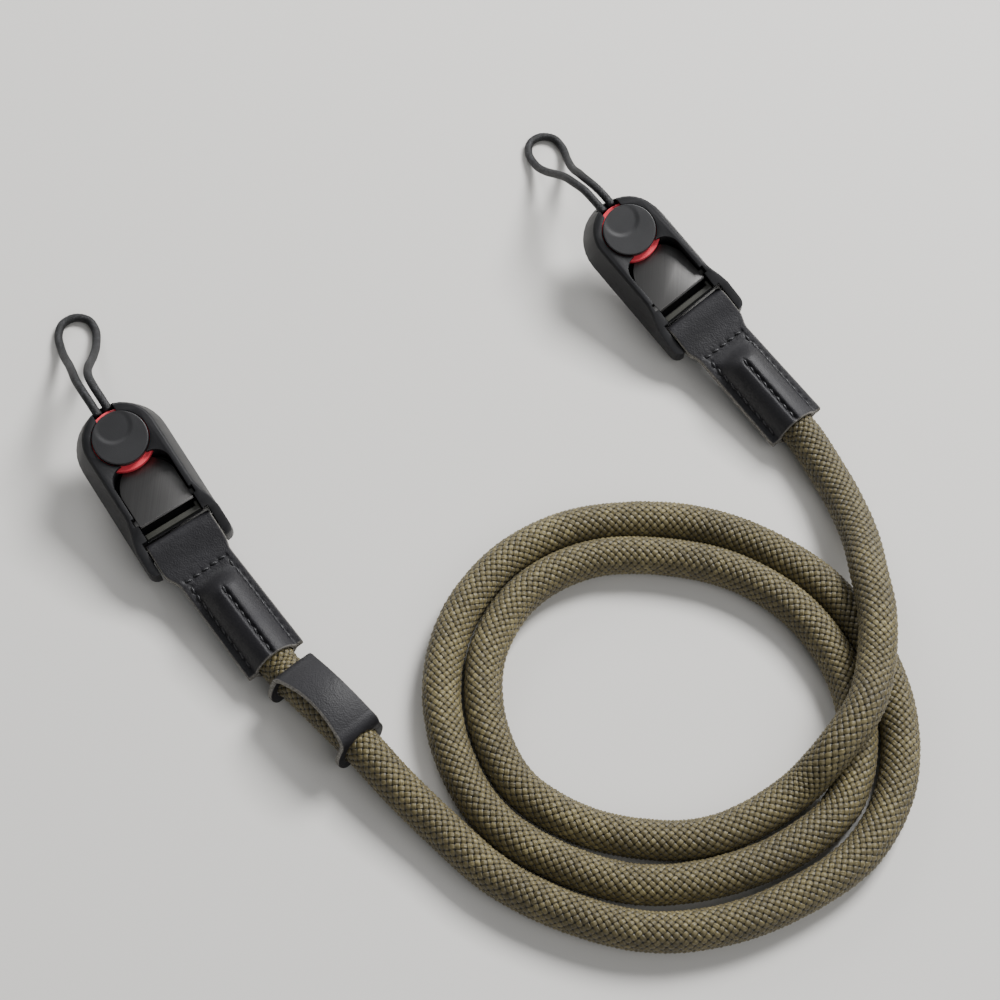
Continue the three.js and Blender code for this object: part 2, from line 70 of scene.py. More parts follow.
def turned(heading=0, rise=0, lean=0):
    # Turn about X by lean, then lift the X axis by rise, then turn it to the heading, all in degrees
    h, r, n = np.radians([heading, -rise, lean])
    aboutZ = np.array([[np.cos(h), -np.sin(h), 0], [np.sin(h), np.cos(h), 0], [0, 0, 1]])
    aboutY = np.array([[np.cos(r), 0, np.sin(r)], [0, 1, 0], [-np.sin(r), 0, np.cos(r)]])
    aboutX = np.array([[1, 0, 0], [0, np.cos(n), -np.sin(n)], [0, np.sin(n), np.cos(n)]])
    return aboutZ @ aboutY @ aboutX


def placed(points, place):
    # A point p goes to origin + rotation p
    return np.asarray(points) @ place[0].T + place[1]


def gridFaces(rows, columns, closed=False):
    # Quads between the neighbouring points of a grid whose rows are stored one after another
    across = columns if closed else columns - 1
    r, c = np.meshgrid(np.arange(rows - 1), np.arange(across), indexing="ij")
    a = r * columns + c
    b = r * columns + (c + 1) % columns
    return np.stack([a, b, b + columns, a + columns], axis=-1).reshape(-1, 4)


def addObject(name, data):
    # A new object in the scene
    made = bpy.data.objects.new(name, data)
    bpy.context.scene.collection.objects.link(made)
    return made


def finishPiece(name, mesh, material, replaces):
    # A smooth object of one material, attached to the root body, with the nodes it stands for hidden
    mesh.materials.clear()
    mesh.materials.append(material)
    mesh.polygons.foreach_set("use_smooth", [True] * len(mesh.polygons))
    piece = addObject(name, mesh)
    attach(piece, "root")
    if replaces:
        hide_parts(*replaces)
    return piece


def makePiece(name, points, faces, material, replaces=()):
    # Points in millimetres, in a grid of any shape, and faces as an array or a list
    mesh = bpy.data.meshes.new(name)
    faces = faces.tolist() if isinstance(faces, np.ndarray) else faces
    mesh.from_pydata((np.asarray(points).reshape(-1, 3) * mm).tolist(), [], faces)
    return finishPiece(name, mesh, material, replaces)


def faceOutward(mesh, weld=0, flat=0):
    # Merge points closer than weld millimetres, join faces that differ by less than flat degrees, and
    # make every face look outwards
    work = bmesh.new()
    work.from_mesh(mesh)
    if weld:
        bmesh.ops.remove_doubles(work, verts=work.verts, dist=weld * mm)
    if flat:
        bmesh.ops.dissolve_limit(work, angle_limit=math.radians(flat), verts=work.verts,
                                 edges=work.edges)
    bmesh.ops.recalc_face_normals(work, faces=work.faces)
    work.to_mesh(mesh)
    work.free()


def tubeFaces(rows, columns):
    # A closed grid of rings with one flat face over each end
    faces = gridFaces(rows, columns, closed=True).tolist()
    return faces + [list(range(columns)), list(range((rows - 1) * columns, rows * columns))]


# Small tools for materials

def linear(hexColour):
    # sRGB hex to linear: c / 12.92 for dark values, else ((c + 0.055) / 1.055) ^ 2.4
    values = [int(hexColour[i:i + 2], 16) / 255 for i in (1, 3, 5)]
    return [c / 12.92 if c <= 0.04045 else ((c + 0.055) / 1.055) ** 2.4 for c in values] + [1]


def newMaterial(name, **settings):
    # A material, its tree and its shader, with the shader's own values set by name
    material = bpy.data.materials.new(name)
    material.use_nodes = True
    shader = material.node_tree.nodes["Principled BSDF"]
    for key, value in settings.items():
        shader.inputs[key.replace("_", " ")].default_value = value
    return material, material.node_tree, shader


def addNode(tree, kind, inputs=None, **settings):
    # A node with its settings; each input is a value or another node's output
    node = tree.nodes.new("ShaderNode" + kind)
    for key, value in settings.items():
        setattr(node, key, value)
    for key, value in (inputs or {}).items():
        if isinstance(value, bpy.types.NodeSocket):
            tree.links.new(value, node.inputs[key])
        else:
            node.inputs[key].default_value = value
    return node


def sums(tree, operation, *values):
    # One step of arithmetic in the tree
    return addNode(tree, "Math", dict(enumerate(values)), operation=operation).outputs[0]


def ramp(tree, factor, stops):
    # Colours, or greys as plain numbers, at places from 0 to 1
    node = addNode(tree, "ValToRGB", {"Fac": factor})
    while len(node.color_ramp.elements) < len(stops):
        node.color_ramp.elements.new(0.5)
    for element, (at, colour) in zip(node.color_ramp.elements, stops):
        element.position = at
        element.color = linear(colour) if isinstance(colour, str) else [colour, colour, colour, 1]
    return node.outputs["Color"]


def noise(tree, place, scale, detail, **inputs):
    # Soft spots from 0 to 1, scale of them to one unit of the place
    inputs = {"Vector": place, "Scale": scale, "Detail": detail, **inputs}
    return addNode(tree, "TexNoise", inputs).outputs["Fac"]


def objectPlace(tree):
    # Places in metres, the same on every piece
    return addNode(tree, "TexCoord").outputs["Object"]


def addBump(tree, shader, height, distance, strength):
    # A height from 0 to 1 stands for this distance in metres
    lift = addNode(tree, "Bump", {"Height": height, "Distance": distance, "Strength": strength})
    tree.links.new(lift.outputs[0], shader.inputs["Normal"])


# Camera, at the photograph's angle, and the two frames of each end

cameraView = {"at": (0.01323, -0.29395, 0.5023), "lean": 30, "roll": 4.25, "lens": 79.416}

camera = addObject("camera", bpy.data.cameras.new("camera"))
camera.data.lens = cameraView["lens"]
camera.data.sensor_width = 36
camera.data.clip_start = 0.01
camera.matrix_world = (
    Matrix.Translation(cameraView["at"])
    @ Matrix.Rotation(math.radians(cameraView["lean"]), 4, "X")
    @ Matrix.Rotation(math.radians(cameraView["roll"]), 4, "Z")
)
bpy.context.scene.camera = camera

# Each end in the plan: the sleeve's mouth, its heading, rise and lean, and what the connector and its
# cord add to them, in millimetres and degrees
ends = {
    "right": {"at": (77.3, 25.3), "heading": 131.9, "rise": 6, "lean": -14, "turn": 1, "lift": 8,
              "cordHeading": 110},
    "left": {"at": (-52.4, -54.4), "heading": 131.5, "rise": 5, "lean": -8, "turn": -4, "lift": 7,
             "cordHeading": 106},
}
barX = 41  # from the sleeve's mouth to the connector's bar
sleeveHalf = 6.4  # bore and one layer of leather


def endPlace(side):
    # The middle of the sleeve's mouth, as high as the sleeve's half height, with X towards the bar
    end = ends[side]
    height = sleeveHalf * math.cos(math.radians(end["rise"]))
    return turned(end["heading"], end["rise"], end["lean"]), strapAt + [*end["at"], height]


def connectorPlace(side):
    # The middle of the bar, turned and lifted a little more than the leather end
    rotation, origin = endPlace(side)
    end = ends[side]
    return rotation @ turned(end["turn"], end["lift"]), origin + rotation @ [barX, 0, 0]


# The braid, for the rope and the anchors' cords

strandWidth = 0.88  # w below: how much of its place a strand fills
meanHeight = 0.6  # of the braid's heights from 0 to 1
clearance = 0.02  # the lowest that a cord's point may lie above the surface


def braidHeight(around, along):
    # A plain one over one braid turned by 45 degrees: p = along + around and q = along - around count
    # the strands of the two ways, i and j are their whole parts and a and b the rest. With a sign
    # s = (-1)^(i + j), a strand of the first way is 0.5 s sin(pi a) + 0.5 (1 - (|2 b - 1| / w)^4) high,
    # one of the second way -0.5 s sin(pi b) + 0.5 (1 - (|2 a - 1| / w)^4), and the higher one shows.
    p, q = along + around, along - around
    i, j = np.floor(p + 1e-6), np.floor(q + 1e-6)
    a, b = p - i, q - j
    sign = 1 - 2 * np.mod(i + j, 2)
    first = sign * np.sin(np.pi * a) + 1 - ((2 * b - 1) / strandWidth) ** 4
    second = -sign * np.sin(np.pi * b) + 1 - ((2 * a - 1) / strandWidth) ** 4
    return 0.5 * np.clip(np.maximum(first, second), 0, 2)


def splineThrough(points, steps):
    # A centripetal Catmull-Rom curve: a cubic between each two points whose slopes come from the
    # neighbours, weighted by the square root of their distances
    points = np.asarray(points, float)
    points = np.vstack([2 * points[0] - points[1], points, 2 * points[-1] - points[-2]])
    p0, p1, p2, p3 = (points[k:len(points) - 3 + k] for k in range(4))
    d0, d1, d2 = (np.linalg.norm(b - a, axis=1, keepdims=True) ** 0.5
                  for a, b in ((p0, p1), (p1, p2), (p2, p3)))
    m1 = ((p1 - p0) / d0 - (p2 - p0) / (d0 + d1) + (p2 - p1) / d1) * d1
    m2 = ((p2 - p1) / d1 - (p3 - p1) / (d1 + d2) + (p3 - p2) / d2) * d1
    t = np.linspace(0, 1, steps, endpoint=False)[None, :, None]
    p1, p2, m1, m2 = (v[:, None, :] for v in (p1, p2, m1, m2))
    curve = p1 + m1 * t + (3 * (p2 - p1) - 2 * m1 - m2) * t ** 2 + (2 * (p1 - p2) + m1 + m2) * t ** 3
    return np.vstack([curve.reshape(-1, 3), points[-2]])


def evenly(curve, step):
    # The same curve at equal steps of length, and its length
    along = np.concatenate([[0], np.cumsum(np.linalg.norm(np.diff(curve, axis=0), axis=1))])
    count = int(round(along[-1] / step)) + 1
    at = np.linspace(0, along[-1], count)
    return np.stack([np.interp(at, along, curve[:, k]) for k in range(3)], axis=1), along[-1]


def braidedTube(name, curve, cord, material, replaces):
    # A tube whose points sit on every half strand of the braid: ring r has one point for each half
    # column, and every second ring is turned by a quarter, so the faces are small diamonds that follow
    # the strands. The radius is the cord's radius plus relief times (braid height - mean height).
    step = cord["pitch"] / 4
    centres, length = evenly(curve, step)
    tangent = np.gradient(centres, axis=0)
    tangent /= np.linalg.norm(tangent, axis=1, keepdims=True)
    side = np.cross([0, 0, 1], tangent)
    side /= np.linalg.norm(side, axis=1, keepdims=True)
    up = np.cross(tangent, side)
    rings, per = len(centres), 2 * cord["columns"]
    r = np.arange(rings)[:, None]
    along = r * 0.25 + np.zeros((1, per))
    around = (2 * np.arange(per)[None, :] + r % 2) / 4
    distance = r * step
    twist = cord["twist"] * np.sin(distance / cord["twistLength"] + 1) + cord["drift"] * distance
    angle = around / cord["columns"] * 2 * np.pi + twist
    relief = cord["relief"] * (braidHeight(around, along) - meanHeight)
    relief += cord["lumps"] * softNoise(np.stack([angle * 3, distance + 0 * angle, 0 * angle], -1), 4, 3)
    radius = (cord["radius"] + relief)[..., None]
    across = np.cos(angle)[..., None] * side[:, None] + np.sin(angle)[..., None] * up[:, None]
    points = centres[:, None] + radius * across
    points[..., 2] = np.maximum(points[..., 2], clearance)  # pressed flat where it lies
    r, k = np.meshgrid(np.arange(rings - 2), np.arange(per), indexing="ij")
    odd = r % 2
    low, high = r * per + k, (r + 2) * per + k
    left = (r + 1) * per + (k - 1 + odd) % per
    right = (r + 1) * per + (k + odd) % per
    faces = np.stack([low, right, high, left], -1).reshape(-1, 4)
    # Where the strands' diamonds run out at the two ends, triangles and a fan close the tube
    k = np.arange(per)
    last, fewer = (rings - 1) * per, (rings - 2) * per
    shift = (rings - 2) % 2
    lowFan = np.stack([k, (k + 1) % per, per + k], -1)
    highFan = np.stack([fewer + k, last + (k + shift) % per, last + (k - 1 + shift) % per], -1)
    middles = len(points.reshape(-1, 3)) + np.array([0, 1])
    capLow = np.stack([(k + 1) % per, k, np.full(per, middles[0])], -1)
    capHigh = np.stack([last + k, last + (k + 1) % per, np.full(per, middles[1])], -1)
    allPoints = np.vstack([points.reshape(-1, 3), centres[0], centres[-1]])
    allFaces = faces.tolist() + np.vstack([lowFan, highFan, capLow, capHigh]).tolist()
    piece = makePiece(name, allPoints, allFaces, material, replaces)
    # The braid's own map: U counts columns around and V counts picks along, unbroken over the joint
    u = np.concatenate([around.reshape(-1), [0, 0]])
    v = np.concatenate([along.reshape(-1), [0, rings / 4]])
    corners = np.array([c for face in allFaces for c in face])
    starts = np.repeat([face[0] for face in allFaces], [len(face) for face in allFaces])
    uv = np.stack([u[corners], v[corners]], -1)
    uv[:, 0] -= np.round((uv[:, 0] - u[starts]) / cord["columns"]) * cord["columns"]
    layer = piece.data.uv_layers.new(name="braid")
    layer.uv.foreach_set("vector", uv.reshape(-1))
    return piece, centres, length


def braidMaterial(name, colours, bump, fibres, spots, **settings):
    # Polyester yarn, braided one over one: each pick is a flat bundle of fibres with a soft sheen, and no
    # two have quite the same colour; painted shade turns the colour almost black where the braid is low,
    # in the gaps
    material, tree, shader = newMaterial(name, **settings)

    def maths(operation, *values):
        return sums(tree, operation, *values)

    place = addNode(tree, "UVMap", uv_map="braid").outputs[0]
    parts = addNode(tree, "SeparateXYZ", {0: place}).outputs
    p, q = maths("ADD", parts[1], parts[0]), maths("SUBTRACT", parts[1], parts[0])
    i, j = maths("FLOOR", p), maths("FLOOR", q)
    a, b = maths("FRACT", p), maths("FRACT", q)
    sign = maths("COSINE", maths("MULTIPLY", maths("ADD", i, j), math.pi))

    def strandHeight(along, across, way):
        # The same heights as the mesh has
        wave = maths("MULTIPLY", maths("SINE", maths("MULTIPLY", along, math.pi)), sign)
        edge = maths("ABSOLUTE", maths("SUBTRACT", maths("MULTIPLY", across, 2.0), 1.0))
        fall = maths("POWER", maths("DIVIDE", edge, strandWidth), 4.0)
        arch = maths("SUBTRACT", 1.0, fall)
        return maths("MULTIPLY", maths("ADD", maths("MULTIPLY", wave, way), arch), 0.5)

    high, low = strandHeight(a, b, 1.0), strandHeight(b, a, -1.0)
    first = maths("GREATER_THAN", high, low)
    height = maths("MAXIMUM", high, low)

    def choose(one, other):
        return addNode(tree, "Mix", {0: first, 2: other, 3: one}, data_type="FLOAT").outputs[0]

    # Fibres run along each strand, a few to its width
    strand = choose(j, maths("ADD", i, 0.5))
    lines = addNode(tree, "CombineXYZ", {0: maths("MULTIPLY", choose(b, a), fibres),
                                         1: maths("MULTIPLY", choose(p, q), 0.8),
                                         2: maths("MULTIPLY", strand, 3.7)})
    yarn = noise(tree, lines.outputs[0], 1.0, 2.0, Roughness=0.6)
    # Every second crossing along a strand is a new pick, with a number of its own
    pickFirst = maths("FLOOR", maths("ADD", maths("MULTIPLY", maths("SUBTRACT", p, j), 0.5), 0.25))
    pickSecond = maths("FLOOR", maths("SUBTRACT", maths("MULTIPLY", maths("SUBTRACT", q, i), 0.5), 0.25))
    number = addNode(tree, "CombineXYZ", {0: strand, 1: choose(pickFirst, pickSecond), 2: first})
    chance = addNode(tree, "TexWhiteNoise", {"Vector": number.outputs[0]}).outputs["Value"]
    # Handling and dust change the shade slowly over about 18 mm
    worn = noise(tree, objectPlace(tree), 55.0, 3.0)
    tone = maths("ADD", maths("MULTIPLY", yarn, 0.6), maths("MULTIPLY", chance, spots))
    tone = maths("ADD", tone, maths("MULTIPLY", maths("SUBTRACT", worn, 0.5), 0.5))
    top = ramp(tree, tone, [(0.1, colours[1]), (0.5, colours[2]), (0.9, colours[3])])
    # Painted shade: where the braid is low, in the gaps between the picks, the colour turns to the first,
    # almost black one
    paintedGapShade = ramp(tree, height, [(0.22, 0.0), (0.4, 0.3), (0.6, 1.0)])
    colour = addNode(tree, "Mix", {0: paintedGapShade, 6: linear(colours[0]), 7: top},
                     data_type="RGBA").outputs[2]
    tree.links.new(colour, shader.inputs["Base Color"])
    addBump(tree, shader, maths("ADD", height, maths("MULTIPLY", yarn, 0.3)), bump, 0.8)
    return material


# Rope: one braided polyester rope, from deep in the right leather end to deep in the left one

# Radius, pitch, relief, lumps, twist length, the part in the sleeve, the straight part before it and
# the rest above the surface are in millimetres, the twist in radians, its drift in radians a millimetre
rope = {"radius": 4.8, "columns": 14, "pitch": 2.08, "relief": 0.5, "lumps": 0.06, "twist": 0.35,
        "twistLength": 60, "drift": 0.0012, "inSleeve": 23, "straight": 3, "rest": 0.1}
ropeRoute = np.array([  # place and lift above lying on the surface, as in the part's source
    (84.5, 14.5, 0.7), (89.5, 4, 1.6), (93, -8, 4.4), (94.5, -20.5, 8.2), (96, -33, 10.1),
    (95.5, -46, 10.1), (92.5, -58.5, 10.6), (85.5, -69.5, 7.6), (78, -77.5, 1.4), (68, -85.5, 0),
    (56.5, -91.5, 0), (43.5, -93.5, 0), (25, -91, 0), (9, -81.5, 0), (0.5, -64.5, 0), (0, -46, 0),
    (8.5, -29, 0), (24, -18.5, 0), (42.5, -16, 0), (61.5, -19, 0), (77.5, -28.5, 0),
    (88.5, -44, 0), (92.5, -62.5, 0), (88.5, -80.5, 0), (74.5, -94, 0), (57.5, -102, 0),
    (39, -105, 0), (20.5, -101, 0), (4, -91.5, 0), (-6.5, -76, 0), (-11, -57.5, 0), (-8.5, -39, 0),
    (1, -22.5, 0), (16, -11, 0), (34, -6, 0), (53, -6, 0), (71, -12, 0), (86.5, -23, 0),
    (97, -38.5, 0), (102.5, -56.5, 0), (101.5, -75.5, 0), (93, -92.5, 0), (78.5, -104.5, 0),
    (61.5, -113, 0), (43, -116.5, 0), (24.5, -113.5, 0), (6.5, -106, 0), (-8.5, -94.5, 0.4),
    (-19.5, -85, 1.4), (-28.5, -76.5, 2.4), (-38, -68, 2.6), (-45.5, -61.2, 2.1),
])


def sleevePoints(side, places):
    # Points on the sleeve's axis
    return placed([[x, 0, 0] for x in places], endPlace(side))


inside, straight = rope["inSleeve"], rope["straight"]
ropePoints = np.vstack([
    sleevePoints("right", [inside, inside / 2, 0, -straight]),
    ropeRoute + strapAt + [0, 0, rope["radius"] + rope["rest"]],
    sleevePoints("left", [-straight, 0, inside / 2, inside]),
])
# The first colour is painted shade for the gaps between the picks
ropeYarn = braidMaterial("braidedPolyesterOlive", ["#040301", "#322b14", "#625836", "#a89c6d"],
                         bump=0.0006, fibres=5.0, spots=0.2, Roughness=0.52, Specular_IOR_Level=0.5,
                         Sheen_Weight=0.12, Sheen_Roughness=0.4)
ropePiece, ropeCentres, ropeLength = braidedTube(
    "ropeBraid", splineThrough(ropePoints, 60), rope, ropeYarn, ["rope"])
print("rope", round(ropeLength, 1), "mm")


# Anchor cords: a thin black braided loop through each anchor

# As for the rope; besides, where the cord leaves the anchor, half the distance between its strands,
# how far they stay in the notch and take to turn, and how far the loop's tip stands out
anchorCord = {"radius": 1.12, "columns": 8, "pitch": 1.0, "relief": 0.13, "lumps": 0.02, "twist": 0.5,
              "twistLength": 15, "drift": 0, "exitX": 38.6, "exitZ": 2.2, "spread": 1.5, "inNotch": 4.2,
              "turnTo": 16, "tip": 1.5, "rest": 1.3}
cordRoute = [  # along in mm, half distance between the strands, share of the height at the anchor
    (4, 1.55, 1), (9, 1.7, 0.9), (14, 2.1, 0.73), (19, 2.8, 0.5), (24, 3.7, 0.28), (30, 4.65, 0.08),
    (36, 5, 0), (39.5, 3.55, 0),
]


def cordLoop(side):
    # Each strand runs straight in the notch, then turns to its own heading and sinks to the surface
    place, end, cord = connectorPlace(side), ends[side], anchorCord
    heading, laid = math.radians(end["heading"] + end["turn"]), math.radians(end["cordHeading"])
    exitAt = placed([[cord["exitX"] + cord["inNotch"], 0, cord["exitZ"]]], place)[0]
    middle, last, strands = exitAt.copy(), 0, ([], [])
    for along, spread, height in cordRoute:
        angle = heading + (laid - heading) * smooth((along + last) / 2 / cord["turnTo"])
        middle = middle + (along - last) * np.array([math.cos(angle), math.sin(angle), 0])
        last = along
        centre = np.array([*middle[:2], cord["rest"] + height * (exitAt[2] - cord["rest"])])
        offset = spread * np.array([-math.sin(angle), math.cos(angle), 0])
        strands[0].append(centre + offset)
        strands[1].append(centre - offset)
    tip = [*(middle[:2] + cord["tip"] * np.array([math.cos(laid), math.sin(laid)])), cord["rest"]]
    inNotch = cord["exitX"] + cord["inNotch"] * np.array([0, 0.5, 1])
    starts = [placed([[x, aside, cord["exitZ"]] for x in inNotch], place)
              for aside in (cord["spread"], -cord["spread"])]
    return np.vstack([starts[0], strands[0], [tip], strands[1][::-1], starts[1][::-1]])


# The first colour is painted shade for the gaps between the picks
cordYarn = braidMaterial("braidedNylonBlack", ["#010101", "#0b0b0c", "#151517", "#3a3a3d"], bump=0.0001,
                         fibres=4.0, spots=0.45, Roughness=0.6, Specular_IOR_Level=0.4)
for side in ends:
    loop = cordLoop(side)
    piece, centres, length = braidedTube(side + "AnchorLoop", splineThrough(loop, 40), anchorCord,
                                         cordYarn, [side + "_anchor_cord"])
    print("cord", side, round(length, 1), "mm")


# Leather ends: one folded strip each, sewn over the rope and round the connector's bar

# Thickness, bore, lengths and half widths are in millimetres; seamHalf is the half width at the cross
# seam, eye the radius round the bar, and the strip parts from foldFrom on
leatherEnd = {"thickness": 1.3, "bore": 5.1, "sleeve": 30, "mouthHalf": 8.2, "seamHalf": 7.9,
              "barHalf": 9.2, "foldFrom": 34, "eye": 1.62, "bulgeFrom": 21, "bulgeLength": 8,
              "groove": 0.7, "grooveHalf": 0.6, "grooveTo": 20.5, "pull": 0.26, "wrinkle": 0.03,
              "waves": 0.05}
# Distance from the edge, pitch and length of a stitch, the thread's radius and its slant in the holes
seams = {"in": 2.05, "pitch": 2.7, "length": 2.0, "thread": 0.27, "slant": 0.16, "crossAt": 30.2}


def leatherMaterial(name, colour, raw, grain, **settings):
    # Cowhide, drum dyed and plated: satin black with a fine pebble grain and small creases, and
    # lighter, rough fibres on the raw cut edges
    material, tree, shader = newMaterial(name, **settings)
    place = objectPlace(tree)
    cells = addNode(tree, "TexVoronoi", {"Vector": place, "Scale": 1000 / grain}, distance="EUCLIDEAN",
                    feature="SMOOTH_F1").outputs["Distance"]
    creases = noise(tree, place, 420.0, 5.0, Roughness=0.6, Distortion=0.6)  # about 2.4 mm apart
    worn = noise(tree, place, 70.0, 4.0)  # rubbed areas of about 14 mm
    edge = addNode(tree, "Attribute", attribute_name="raw").outputs["Fac"]
    fuzz = noise(tree, place, 2500.0, 3.0)  # loose fibres of 0.4 mm
    base = ramp(tree, worn, [(0.3, colour[0]), (0.75, colour[1])])
    cut = ramp(tree, fuzz, [(0.35, raw[0]), (0.7, raw[1])])
    mixed = addNode(tree, "Mix", {0: edge, 6: base, 7: cut}, data_type="RGBA").outputs[2]
    tree.links.new(mixed, shader.inputs["Base Color"])
    gloss = sums(tree, "ADD", sums(tree, "MULTIPLY", worn, 0.24), sums(tree, "MULTIPLY", edge, 0.4))
    tree.links.new(sums(tree, "ADD", gloss, 0.47), shader.inputs["Roughness"])
    relief = sums(tree, "ADD", cells, sums(tree, "MULTIPLY", creases, 0.45))
    relief = sums(tree, "ADD", relief, sums(tree, "MULTIPLY", sums(tree, "MULTIPLY", fuzz, edge), 2.0))
    addBump(tree, shader, relief, 0.00012, 0.6)
    return material


def halfWidthAt(x):
    # Straight from the mouth to the cross seam, then widening smoothly to the bar
    end = leatherEnd
    sleeve = end["mouthHalf"] + (end["seamHalf"] - end["mouthHalf"]) * np.clip(x / end["sleeve"], 0, 1)
    return sleeve + (end["barHalf"] - sleeve) * smooth((x - end["sleeve"]) / 5)


def overRope(x, y, radius, floor, power=0.5):
    # An arch r (1 - y^2 / r^2)^power over the rope, half a circle where power is 0.5, which runs out
    # softly into the flat seam by 0.5 (v + sqrt(v^2 + k^2))
    bulge = 1 - smooth((x - leatherEnd["bulgeFrom"]) / leatherEnd["bulgeLength"])
    side = np.abs(y)
    arch = radius * np.clip(1 - (side / radius) ** 2, 0, 1) ** power
    v = np.where(side < radius, arch, -2 * (side - radius))
    return bulge * 0.5 * (v - floor + np.sqrt((v - floor) ** 2 + 0.3))


def stitchLines(top):
    # Rows of start and end points: two edge seams, the cross seam and, on top, the middle seam
    x = np.arange(2.2, 28.5, seams["pitch"])
    rows = []
    for way in (1, -1):
        y = way * (halfWidthAt(x) - seams["in"])
        rows.append(np.stack([x, y + seams["slant"], x + seams["length"], y - seams["slant"]], 1))
    half = leatherEnd["seamHalf"] - seams["in"]
    y = np.arange(-half, half - seams["length"] / 2, seams["pitch"] * 0.95)
    x = np.full_like(y, seams["crossAt"])
    rows.append(np.stack([x - seams["slant"] * 1.5, y, x + seams["slant"] * 1.5, y + seams["length"]], 1))
    if top:
        x = np.arange(1.4, leatherEnd["grooveTo"], seams["pitch"])
        rows.append(np.stack([x, 0 * x + seams["slant"], x + seams["length"], 0 * x - seams["slant"]], 1))
    return np.vstack(rows)


def partAt(x):
    # How far the two layers have parted: a smooth step from foldFrom to the bar, up to the eye's radius
    end = leatherEnd
    return (end["eye"] - 0.02) * smooth((x - end["foldFrom"]) / (barX - end["foldFrom"]))


def outerHeight(x, y, top, seed):
    # Thickness, plus the bulge over the rope, less the middle groove and the pull of each stitch, all
    # bell curves e^(-d^2 / w), plus fine wrinkles and long waves of noise
    end = leatherEnd
    outer = end["bore"] + end["thickness"]
    height = end["thickness"] + partAt(x) + overRope(x, y, outer, end["thickness"], 0.66)
    if top:
        along = smooth((x + 0.5) / 1.5) * (1 - smooth((x - end["grooveTo"]) / 2))
        height = height - end["groove"] * along * np.exp(-(y / end["grooveHalf"]) ** 2)
    lines = stitchLines(top)
    holes = np.vstack([lines[:, :2], lines[:, 2:]])
    far = (x[..., None] - holes[:, 0]) ** 2 + (y[..., None] - holes[:, 1]) ** 2
    height = height - end["pull"] * np.exp(-far.min(-1) / 0.2)
    crossed = np.abs(x - seams["crossAt"])
    inSeam = np.abs(y) < end["seamHalf"] - seams["in"] + 0.6
    height = height - end["pull"] * 0.8 * np.exp(-(crossed / 0.6) ** 2) * inSeam
    spots = np.stack([x, y * 0.35, 0 * x], -1)  # wrinkles run across the strip
    wrinkled = smooth((x - 24) / 6)
    height = height + end["wrinkle"] * (0.4 + wrinkled) * softNoise(spots, 0.7, seed)
    return height + end["waves"] * softNoise(np.stack([x, y, 0 * x], -1), 5, seed + 1)


def leatherStrip(seed):
    # The strip's inner line runs from the mouth along the middle plane, parts to go round the bar and
    # comes back below; the outer surface is one thickness outside it. Every row is a closed ring of
    # outer and inner points, and the ends of the strip are closed across.
    end = leatherEnd
    xs = np.concatenate([[0, 0.12, 0.35], np.linspace(0.8, barX, 110)])
    angles = np.radians(np.linspace(90, -90, 17))[1:-1]
    edgeIn = np.array([0, 0.12, 0.35])  # extra rows round the cut edges
    share = np.linspace(-1, 1, 75)
    half = halfWidthAt(np.concatenate([xs, np.full(len(angles), barX), xs[::-1]]))[:, None]
    y = np.concatenate([-half + edgeIn, share * (half - 0.6), half - edgeIn[::-1]], axis=1)
    drop = np.concatenate([[0.3, 0.09, 0.01], 0 * share, [0.01, 0.09, 0.3]])
    rise = drop * 0.35
    count = len(xs)
    mouthDrop = np.interp(xs, [0, 0.12, 0.35, 0.5], [0.3, 0.1, 0.02, 0])[:, None]

    def flat(top, xs, y, mouthDrop):
        x = xs[:, None] + 0 * y
        inner = 0.02 + partAt(x) + overRope(x, y, end["bore"], 0) + rise + mouthDrop * 0.4
        outer = outerHeight(x, y, top, seed + (0 if top else 9)) - drop - mouthDrop
        way = 1 if top else -1
        return np.stack([x, y, way * outer], -1), np.stack([x, y, way * np.minimum(inner, outer)], -1)

    topOuter, topInner = flat(True, xs, y[:count], mouthDrop)
    lowOuter, lowInner = flat(False, xs[::-1], y[-count:], mouthDrop[::-1])
    a = angles[:, None]
    bend = y[count:-count]
    outerR = end["eye"] + end["thickness"] - drop + 0.03 * softNoise(
        np.stack([a * 3 + 0 * bend, bend, 0 * bend], -1), 0.8, seed + 4)
    innerR = end["eye"] + rise + 0 * bend
    around = [np.stack([barX + r * np.cos(a), bend, r * np.sin(a)], -1) for r in (outerR, innerR)]
    outer = np.vstack([topOuter, around[0], lowOuter])
    inner = np.vstack([topInner, around[1], lowInner])
    points = np.concatenate([outer, inner[:, ::-1]], axis=1)
    rows, columns = points.shape[:2]
    faces = gridFaces(rows, columns, closed=True)
    c = np.arange(columns // 2 - 1)
    cap = np.stack([c, c + 1, columns - 2 - c, columns - 1 - c], -1)
    faces = np.vstack([faces, cap[:, ::-1], cap + (rows - 1) * columns])
    raw = np.zeros((rows, columns))
    raw[:, [0, columns // 2 - 1, columns // 2, columns - 1]] = 1
    raw[:, [1, columns // 2 - 2, columns // 2 + 1, columns - 2]] = 0.5
    raw[[0, -1]] = 1
    raw[[1, -2]] = np.maximum(raw[[1, -2]], 0.5)
    return points, faces, raw


def foldTurned(points, turn):
    # Past the cross seam the strip turns in plan with the connector, about the middle of the bar
    share = smooth((points[..., 0] - leatherEnd["sleeve"]) / 4)[..., None]
    rotated = (points - [barX, 0, 0]) @ turned(turn).T + [barX, 0, 0]
    return points + share * (rotated - points)


